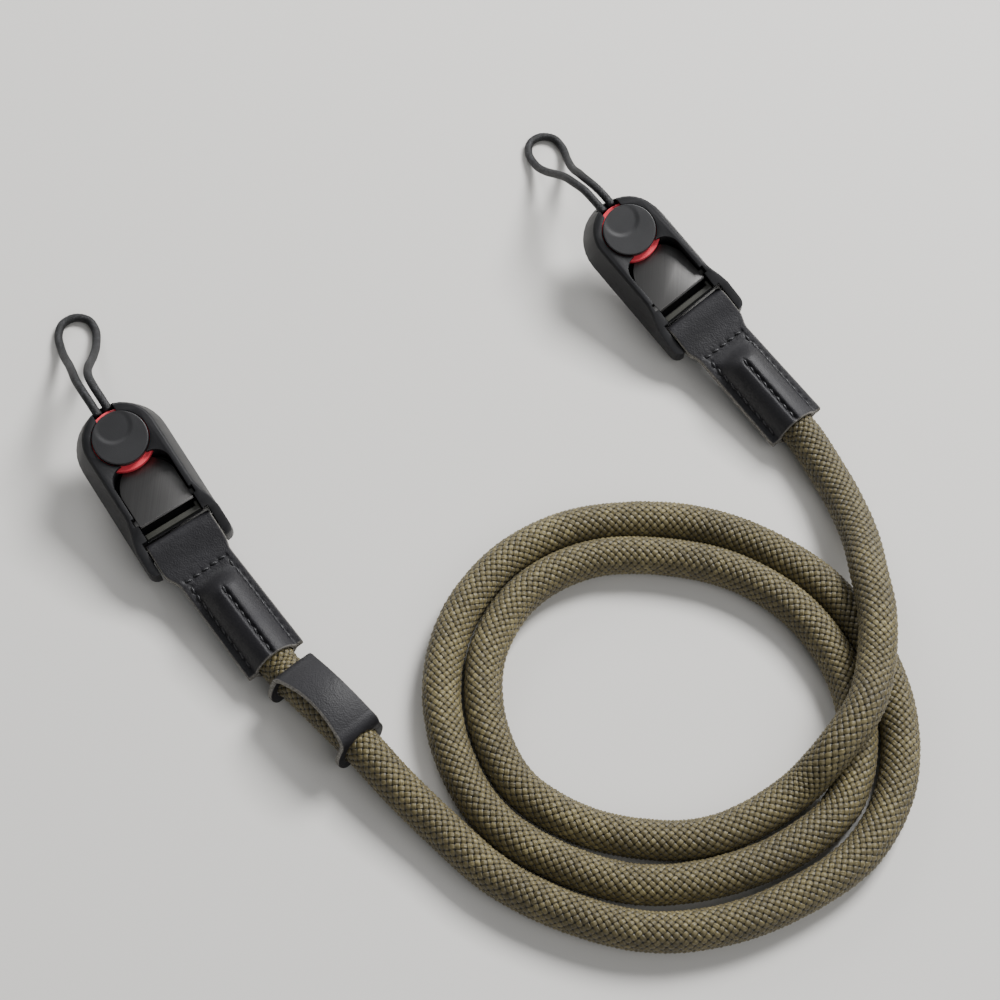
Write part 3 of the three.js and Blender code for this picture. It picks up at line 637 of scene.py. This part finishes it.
def stitchRun(lines, top, seed):
    # Each stitch is a short thread from hole to hole: along it the middle rises by a sine and the
    # thickness falls a little to the ends; six sides and seven rings
    t = np.linspace(0, 1, 7)
    starts, finishes = lines[:, None, :2], lines[:, None, 2:]
    plan = starts + (finishes - starts) * t[None, :, None]
    height = outerHeight(plan[..., 0], plan[..., 1], top, seed)
    ground = np.maximum(height, height.mean(axis=1, keepdims=True))
    middle = ground + seams["thread"] * (1.15 * np.sin(np.pi * t) ** 0.5 - 0.55)
    way = finishes - starts
    way = way / np.linalg.norm(way, axis=-1, keepdims=True)
    across = np.stack([-way[..., 1], way[..., 0]], -1)
    angle = np.arange(6) / 6 * 2 * np.pi
    radius = seams["thread"] * (0.65 + 0.35 * np.sin(np.pi * t))[None, :, None]
    out = radius * np.cos(angle)
    points = np.concatenate([
        plan[:, :, None, :] + across[:, :, None, :] * out[..., None],
        (middle[:, :, None] + radius * np.sin(angle))[..., None],
    ], axis=-1)
    if not top:
        points[..., 2] *= -1
    return points


def stitchFaces(count, rings=7, sides=6):
    # The same tube of quads for each stitch, with a flat face over each end
    one = gridFaces(rings, sides, closed=True)
    shift = (np.arange(count) * rings * sides)[:, None, None]
    quads = (one[None] + shift).reshape(-1, 4).tolist()
    low = (np.arange(sides)[::-1] + shift[:, 0]).tolist()
    high = (np.arange(sides) + (rings - 1) * sides + shift[:, 0]).tolist()
    return quads + low + high


blackLeather = leatherMaterial("cowhideBlackPlated", ["#0d0c10", "#18171c"], ["#595752", "#94908a"],
                               grain=0.36, Specular_IOR_Level=0.4)
thread, threadTree, threadShader = newMaterial("waxedPolyesterThread", Roughness=0.45)
# Waxed thread, twisted: black with fine light strands across it
spun = addNode(threadTree, "TexWave", {"Vector": objectPlace(threadTree), "Scale": 900.0,
                                       "Distortion": 3.0}).outputs["Fac"]
threadTree.links.new(ramp(threadTree, spun, [(0.2, "#0d0d0e"), (0.8, "#3b3b3e")]),
                     threadShader.inputs["Base Color"])
for side, seed in (("right", 11), ("left", 31)):
    place, turn = endPlace(side), ends[side]["turn"]
    points, faces, raw = leatherStrip(seed)
    piece = makePiece(side + "LeatherStrip", placed(foldTurned(points, turn), place), faces,
                      blackLeather, [side + "_leather_end"])
    piece.data.attributes.new("raw", "FLOAT", "POINT").data.foreach_set("value", raw.reshape(-1))
    faceOutward(piece.data)
    upper = stitchRun(stitchLines(True), True, seed)
    lower = stitchRun(stitchLines(False), False, seed + 9)
    every = np.concatenate([upper, lower]).reshape(-1, 3)
    stitches = makePiece(side + "Stitches", placed(foldTurned(every, turn), place),
                         stitchFaces(len(upper) + len(lower)), thread)
    faceOutward(stitches.data, 0.0001)
print("leather ends")


# Keeper: a leather strip bent over the rope, with a round eye for the rope at each end

# From the left mouth along the rope, and the strip's own sizes in millimetres: eye and hole are the
# outer and inner radius of the eyes, neck and waist half widths, crown, shoulder and ground heights
keeper = {"from": 5.6, "length": 26, "thickness": 1.4, "eye": 7.3, "hole": 5.2, "neck": 6, "waist": 4.9,
          "bend": 3, "crown": 9.9, "shoulder": 6.9, "ground": 5.9, "lean": -7, "neckAt": 4.16}


def keeperPath(step):
    # The outer line in side view: up the first wall, over the bridge and down the second wall. Each
    # bend is a curve (1-t)^2 a + 2 t (1-t) b + t^2 c, and the line is then cut into equal steps.
    k = keeper
    t = np.linspace(0, 1, 40)[:, None]
    wall = 45  # the first wall's points end well within these
    near = np.array([0.01, 0.06, 0.15, 0.3])
    top = k["shoulder"] + k["bend"] / 4
    far, low = k["length"], k["shoulder"] - k["bend"]

    def curve(a, b, c):
        return (1 - t) ** 2 * a + 2 * t * (1 - t) * np.array(b) + t ** 2 * np.array(c)

    line = np.vstack([
        [[0, -k["ground"]]], curve(np.array([0, low]), [0, k["shoulder"]], [k["bend"], top]),
        curve(np.array([k["bend"], top]), [far / 2, 2 * k["crown"] - top], [far - k["bend"], top])[1:],
        curve(np.array([far - k["bend"], top]), [far, k["shoulder"]], [far, low])[1:],
        [[far, -k["ground"]]],
    ])
    along = np.concatenate([[0], np.cumsum(np.linalg.norm(np.diff(line, axis=0), axis=1))])
    # Extra rows stand close together where the hole closes
    closing = np.interp(k["hole"] - near, line[:wall, 1], along[:wall])
    low = np.interp(-k["hole"] + near, line[:wall, 1], along[:wall])
    tip = along[-1]
    rows = np.concatenate([np.arange(0, tip, step), closing, low, tip - closing, tip - low, [tip]])
    rows = np.unique(np.round(rows, 3))
    return np.stack([np.interp(rows, along, line[:, n]) for n in range(2)], -1)


def makeKeeper(place):
    # Left and right half are one grid each, from the hole's edge (or the middle line, where there is no
    # hole) to the strip's edge; the outer and inner surfaces lie half a thickness to either side
    k = keeper
    path = keeperPath(0.3)
    way = np.gradient(path, axis=0)
    way /= np.linalg.norm(way, axis=1, keepdims=True)
    out = np.stack([-way[:, 1], way[:, 0]], -1)
    middle = path - out * k["thickness"] / 2
    x, z = path.T
    edge = np.where(z < k["neckAt"], np.sqrt(np.clip(k["eye"] ** 2 - z ** 2, 0, None)),
                    k["waist"] + (k["neck"] - k["waist"]) * (2 * x / k["length"] - 1) ** 2)
    hole = np.sqrt(np.clip(k["hole"] ** 2 - middle[:, 1] ** 2, 0, None))
    share = np.concatenate([[0, 0.03, 0.08], np.linspace(0.14, 0.88, 12), [0.94, 0.98, 1]])
    points, faces, raws, first = [], [], [], 0
    holed = hole > 0
    rows, columns = len(path), len(share)
    for half in (1, -1):
        y = hole[:, None] + (edge - hole)[:, None] * share
        fall = np.interp(share, [0.94, 0.98, 1], [0, 0.07, 0.24]) + 0 * y
        fall = fall + holed[:, None] * np.interp(share, [0, 0.03, 0.08], [0.22, 0.06, 0])
        tips = np.interp(np.arange(rows), [0, 1, 2], [0.25, 0.08, 0])
        fall = np.maximum(fall, np.maximum(tips, tips[::-1])[:, None])
        bowed = 0.35 * (y / edge[:, None]) ** 2 * smooth((z - 4) / 4)[:, None]
        sheets = []
        for sign in (1, -1):
            flat = np.stack([x[:, None] + 0 * y, half * y, z[:, None] + 0 * y], -1)
            rough = 0.07 * softNoise(flat, 4, 5) + 0.025 * softNoise(flat, 0.9, 6)
            off = sign * (k["thickness"] / 2 - fall) - bowed + rough
            both = middle[:, None] + off[..., None] * out[:, None]
            sheets.append(np.stack([both[..., 0], half * y, both[..., 1]], -1))
        size = rows * columns
        grid = gridFaces(rows, columns).reshape(rows - 1, columns - 1, 4)
        faces += [(grid + first).reshape(-1, 4), (grid[..., ::-1] + first + size).reshape(-1, 4)]
        r = np.arange(rows - 1)
        a = first + r * columns + columns - 1
        faces.append(np.stack([a, a + columns, a + columns + size, a + size], -1))
        inHole = r[holed[:-1] | holed[1:]]
        a = first + inHole * columns
        faces.append(np.stack([a, a + size, a + size + columns, a + columns], -1))
        c = np.arange(columns - 1)
        for row in (0, rows - 1):
            a = first + row * columns + c
            faces.append(np.stack([a, a + 1, a + 1 + size, a + size], -1))
        raw = np.zeros((rows, columns))
        raw[:, -1] = 1
        raw[:, -2] = 0.6
        raw[holed, 0] = 1
        raw[holed, 1] = 0.5
        raw[[0, -1]] = 1
        points += [sheets[0].reshape(-1, 3), sheets[1].reshape(-1, 3)]
        raws += [raw.reshape(-1), raw.reshape(-1)]
        first += 2 * size
    piece = makePiece("keeperStrip", placed(np.vstack(points), place), np.vstack(faces), blackLeather,
                      ["keeper"])
    piece.data.attributes.new("raw", "FLOAT", "POINT").data.foreach_set("value", np.concatenate(raws))
    faceOutward(piece.data, 0.004)


# The keeper's X axis is the rope, from a point beside the left mouth away from it
mouthAt = np.linalg.norm(np.diff(ropeCentres, axis=0), axis=1).sum() - rope["inSleeve"]
ropeStep = ropeLength / (len(ropeCentres) - 1)
startAt = ropeCentres[int(round((mouthAt - keeper["from"]) / ropeStep))]
endAt = ropeCentres[int(round((mouthAt - keeper["from"] - keeper["length"]) / ropeStep))]
leaving = endAt - startAt
keeperPlace = (turned(math.degrees(math.atan2(leaving[1], leaving[0])),
                      math.degrees(math.atan2(leaving[2], math.hypot(*leaving[:2]))), keeper["lean"]),
               startAt)
makeKeeper(keeperPlace)
print("keeper")


# Connectors: the housing and plate are the model's own shapes with rounded edges, the anchor is turned

# From the bar to the anchor and heights above the bar, and the radius of each rounded edge, in
# millimetres; the thumb hollow lies dentAt past the anchor's axis
connector = {"discX": 29.8, "discTop": 5.4, "discRadius": 7.2, "discThickness": 2, "coreRadius": 8.5,
             "coreTop": 3.1, "coreThickness": 1.8, "dentAt": 3.6, "dentRadius": 5.2, "dentDepth": 0.32,
             "dentEdge": 1.5, "housingEdge": 0.3, "plateEdge": 0.12, "discEdge": 0.3, "coreEdge": 0.35}


def mouldedMaterial(name, colours, grit, bump, **settings):
    # Glass-filled nylon, injection moulded in an eroded tool: matt, with a fine sandy texture that
    # breaks the highlights, and slightly polished where hands touch it
    material, tree, shader = newMaterial(name, **settings)
    place = objectPlace(tree)
    sand = noise(tree, place, 1000 / grit, 2.0)
    worn = noise(tree, place, 90.0, 4.0)  # areas of about 11 mm
    tree.links.new(ramp(tree, worn, [(0.3, colours[0]), (0.7, colours[1])]), shader.inputs["Base Color"])
    rough = sums(tree, "ADD", sums(tree, "MULTIPLY", worn, 0.16), settings["Roughness"] - 0.08)
    tree.links.new(rough, shader.inputs["Roughness"])
    addBump(tree, shader, sand, bump, 0.5)
    return material


housingNylon = mouldedMaterial("nylonBlackMoulded", ["#151517", "#1d1d1f"], 0.3, 0.00005, Roughness=0.5,
                               Specular_IOR_Level=0.25)
discNylon = mouldedMaterial("nylonGraphiteMoulded", ["#1b1b1d", "#232325"], 0.25, 0.00005, Roughness=0.5)
coreAcetal = mouldedMaterial("acetalCoralMoulded", ["#e23442", "#f24c5a"], 0.5, 0.00001, Roughness=0.38)


def steelMaterial(name, colours, **settings):
    # Spring steel, blackened and tumbled: a dark mirror with faint brushing along the leaf
    material, tree, shader = newMaterial(name, Metallic=1.0, **settings)
    along = addNode(tree, "Mapping", {"Vector": objectPlace(tree), "Rotation": (0, 0, math.radians(-48)),
                                      "Scale": (3000, 60, 60)}).outputs[0]
    brushed = noise(tree, along, 1.0, 3.0)
    tree.links.new(ramp(tree, brushed, [(0.2, colours[0]), (0.8, colours[1])]),
                   shader.inputs["Base Color"])
    addBump(tree, shader, brushed, 0.000004, 0.2)
    return material


plateSteel = steelMaterial("springSteelBlackened", ["#6c6b6a", "#777675"], Roughness=0.36)


def roundedCopy(node, material, width):
    # The node's loose triangles merged, its flat faces joined, and every sharp edge rounded
    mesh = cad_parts[node].data.copy()
    faceOutward(mesh, 0.005, 0.6)
    piece = finishPiece(node + "Rounded", mesh, material, [node])
    bevel = piece.modifiers.new("edges", "BEVEL")
    bevel.width = width * mm
    bevel.segments = 2
    bevel.limit_method = "ANGLE"
    bevel.angle_limit = math.radians(28)
    bevel.harden_normals = True


def turnedDisc(name, place, radius, thickness, top, edge, dent, material, node):
    # A profile of radius and height turned about the anchor's axis, with a hollow pressed into its top:
    # depth times a smooth step of the distance from the hollow's own middle, times a slope that falls
    # from 1 at the near edge to 0 at the far one
    rings = np.concatenate([np.linspace(0.05, radius - edge - 0.1, 34), [radius - edge]])
    corner = np.radians(np.linspace(90, 0, 6))
    r = np.concatenate([rings, radius - edge + edge * np.cos(corner[1:]), [radius],
                        radius - edge + edge * np.cos(corner[::-1])[1:], rings[::-1]])
    z = np.concatenate([0 * rings + top, top - edge + edge * np.sin(corner[1:]), [top - thickness / 2],
                        top - thickness + edge - edge * np.sin(corner[::-1])[1:],
                        0 * rings + top - thickness])
    angle = np.linspace(0, 2 * np.pi, 96, endpoint=False)
    x, y = r[:, None] * np.cos(angle), r[:, None] * np.sin(angle)
    z = z[:, None] + 0 * x
    if dent:
        far = np.hypot(x - connector["dentAt"], y)
        reach = smooth((connector["dentRadius"] - far) / connector["dentEdge"])
        slope = 0.5 - 0.5 * np.clip((x - connector["dentAt"]) / connector["dentRadius"], -1, 1)
        upper = np.arange(len(r))[:, None] < len(rings)
        z = z - dent * reach * slope * upper
    points = np.stack([x + connector["discX"], y, z], -1)
    piece = makePiece(name, placed(points, place), tubeFaces(*points.shape[:2]), material, [node])
    faceOutward(piece.data, 0.0001)


# The sill cap's box, its corners' radius and the leg's length and width in millimetres
sill = {"x": (3.8, 5.3), "y": 7.9, "z": (0.7, 1.9), "round": 0.35, "leg": 1.1, "legWidth": 0.9}


def roundedBar(x0, x1, y0, y1, z0, z1, radius):
    # A rectangle with round corners, carried along Y; towards each end the section shrinks by the
    # same quarter circle
    corner = np.radians(np.arange(0, 91, 18))
    angle = (corner + np.arange(4)[:, None] * np.pi / 2).reshape(-1)
    out = np.stack([np.cos(angle), np.sin(angle)], -1)
    signs = np.repeat([(1, 1), (-1, 1), (-1, -1), (1, -1)], len(corner), axis=0)
    into = radius * np.sin(corner)
    less = radius * (1 - np.cos(corner))
    y = np.concatenate([y0 + less, y1 - less[::-1]])
    small = np.concatenate([into, into[::-1]])[:, None]
    half = np.array([x1 - x0, z1 - z0]) / 2 - radius
    middle = np.array([x0 + x1, z0 + z1]) / 2
    x, z = (middle[n] + signs[:, n] * half[n] + out[:, n] * small for n in (0, 1))
    points = np.stack([x, y[:, None] + 0 * x, z], -1)
    return points.reshape(-1, 3), tubeFaces(*points.shape[:2])


def sillCap(side, place):
    # A strip beside the leather, with a short leg along the window's far side, coloured lighter than the
    # housing as painted light
    s = sill
    bar, barFaces = roundedBar(*s["x"], -s["y"], s["y"], *s["z"], s["round"])
    leg, legFaces = roundedBar(s["x"][1] - 0.8, s["x"][1] + s["leg"], -s["y"], s["legWidth"] - s["y"],
                               *s["z"], s["round"])
    faces = barFaces + [[v + len(bar) for v in face] for face in legFaces]
    piece = makePiece(side + "SillCap", placed(np.vstack([bar, leg]), place), faces, sillNylonPaintedLight)
    faceOutward(piece.data, 0.0001)


# Painted light: the sill's greys are lighter than the housing's black to show the light the strip catches
sillNylonPaintedLight = mouldedMaterial("nylonPaintedLightStrip", ["#2f2f2a", "#3b3b35"], 0.3, 0.00003, Roughness=0.45)
for side in ends:
    place, c = connectorPlace(side), connector
    sillCap(side, place)
    roundedCopy(side + "_housing", housingNylon, c["housingEdge"])
    roundedCopy(side + "_spring_plate", plateSteel, c["plateEdge"])
    turnedDisc(side + "AnchorDisc", place, c["discRadius"], c["discThickness"], c["discTop"],
               c["discEdge"], c["dentDepth"], discNylon, side + "_anchor_disc")
    turnedDisc(side + "AnchorCore", place, c["coreRadius"], c["coreThickness"], c["coreTop"],
               c["coreEdge"], 0, coreAcetal, side + "_anchor_core")
print("connectors")


# Floor and lights

# The strength of the even light from all round, and the softboxes' energy in watts
studio = {"floor": "#d6d4d0", "world": 0.23, "key": 32.0, "fill": 6.0, "back": 5.0}

# Matt paper, pale and plain, so that the eye stays on the strap
paper = newMaterial("paperPale", Base_Color=linear(studio["floor"]), Roughness=0.9,
                    Specular_IOR_Level=0.1)[0]
floorMesh = bpy.data.meshes.new("floor")
floorMesh.from_pydata([(-4, -4, 0), (4, -4, 0), (4, 4, 0), (-4, 4, 0)], [], [(0, 1, 2, 3)])
floorMesh.materials.append(paper)
addObject("floor", floorMesh)

world = bpy.data.worlds.new("studio")
bpy.context.scene.world = world
world.use_nodes = True
world.node_tree.nodes["Background"].inputs["Color"].default_value = (0.96, 0.98, 1, 1)
world.node_tree.nodes["Background"].inputs["Strength"].default_value = studio["world"]


def softLight(name, at, size, energy, target=(0.02, -0.02, 0)):
    # A square softbox whose -Z axis points at the target
    light = addObject(name, bpy.data.lights.new(name, "AREA"))
    light.data.size = size
    light.data.energy = energy
    way = Vector(at) - Vector(target)
    light.matrix_world = Matrix.Translation(at) @ way.to_track_quat("Z", "Y").to_matrix().to_4x4()


softLight("keyLight", (0.55, 0.75, 0.95), 0.5, studio["key"])
softLight("fillLight", (0.7, -0.7, 1.0), 1.0, studio["fill"])
softLight("backLight", (-0.5, 0.9, 0.6), 0.5, studio["back"])
